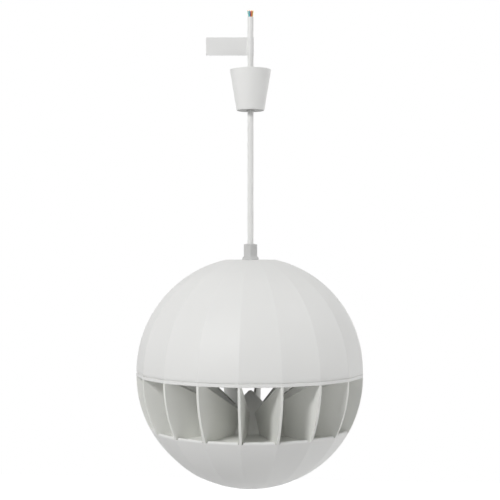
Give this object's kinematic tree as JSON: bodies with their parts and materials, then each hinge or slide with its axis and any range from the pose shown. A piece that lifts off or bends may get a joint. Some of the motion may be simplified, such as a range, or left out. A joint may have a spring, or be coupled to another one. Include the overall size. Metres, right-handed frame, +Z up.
{
  "type": "pendant speaker",
  "caption": "Round white pendant loudspeaker with a vaned all-round horn band, hung by its own cord below a conical ceiling cup.",
  "frame": {"origin": "on the cord's axis at the ceiling, in the plane of the ceiling cup's rim", "axes": "+Z up along the cord; one vane of the horn faces -Y"},
  "size_m": [0.3956, 0.401, 0.8405],
  "materials": {
    "shell_plastic": "fine satin moulded white plastic",
    "horn_plastic": "satin moulded white plastic",
    "cup_plastic": "satin moulded white plastic",
    "gland_plastic": "grey nylon",
    "block_plastic": "cream terminal plastic",
    "cord_pvc": "white cable sheath",
    "lead_pvc": "red hook-up wire",
    "wire_pvc": "coloured conductor insulation",
    "tag_film": "bare grey-white film",
    "winding_tape": "yellow winding tape",
    "former_film": "amber film",
    "felt": "grey damping felt",
    "spider_cloth": "impregnated cloth",
    "cone_paper": "black pressed paper",
    "black_rubber": "black rubber",
    "grey_rubber": "grey rubber",
    "steel": "plated screws",
    "zinc_steel": "zinc plated sheet",
    "core_steel": "laminated core",
    "black_steel": "black enamel",
    "ferrite": "sintered ferrite",
    "copper": "enamelled copper wire",
    "brass": "tinned brass lugs on board"
  },
  "bodies": {
    "speaker": {"upper_shell": "shell_plastic", "damping_lining": "felt", "baffle_ring": "shell_plastic", "deflector": "horn_plastic", "bottom_bowl": "shell_plastic", "vane_01": "horn_plastic", "vane_02": "horn_plastic", "vane_03": "horn_plastic", "vane_04": "horn_plastic", "vane_05": "horn_plastic", "vane_06": "horn_plastic", "vane_07": "horn_plastic", "vane_08": "horn_plastic", "vane_09": "horn_plastic", "vane_10": "horn_plastic", "vane_11": "horn_plastic", "vane_12": "horn_plastic", "vane_13": "horn_plastic", "vane_14": "horn_plastic", "vane_15": "horn_plastic", "vane_16": "horn_plastic", "vane_17": "horn_plastic", "vane_18": "horn_plastic", "shell_screws": "steel", "bowl_screw": "steel", "frame_gasket": "black_rubber", "driver_frame": "black_steel", "driver_screws": "steel", "driver_terminals": "brass", "top_plate": "zinc_steel", "magnet": "ferrite", "back_plate": "zinc_steel", "transformer_bracket": "zinc_steel", "transformer_core": "core_steel", "transformer_winding": "winding_tape", "transformer_clamp": "zinc_steel", "terminal_block": "block_plastic", "driver_leads": "lead_pvc", "inner_cable": "cord_pvc", "cord_clamp": "zinc_steel", "clamp_screws": "steel", "load_plate": "zinc_steel", "gland_locknut": "gland_plastic", "gland_body": "gland_plastic", "gland_seal": "black_rubber", "gland_nut": "gland_plastic", "cord": "cord_pvc", "tag": "tag_film", "conductors": "wire_pvc"},
    "diaphragm": {"paper_cone": "cone_paper", "dust_cap": "cone_paper", "coil_former": "former_film", "coil_winding": "copper", "surround": "black_rubber", "spider": "spider_cloth"},
    "cup": {"ceiling_cup": "cup_plastic", "cup_grommet": "grey_rubber"}
  },
  "joints": [
    {"name": "diaphragm_slide", "type": "slide", "parent": "speaker", "child": "diaphragm", "axis": [0, 0, 1], "range_m": [-0.004, 0.004], "stiffness_N_per_m": 1500, "deforming": ["surround", "spider"]},
    {"name": "cup_slide", "type": "slide", "parent": "speaker", "child": "cup", "axis": [0, 0, 1], "range_m": [-0.22, 0]}
  ]
}
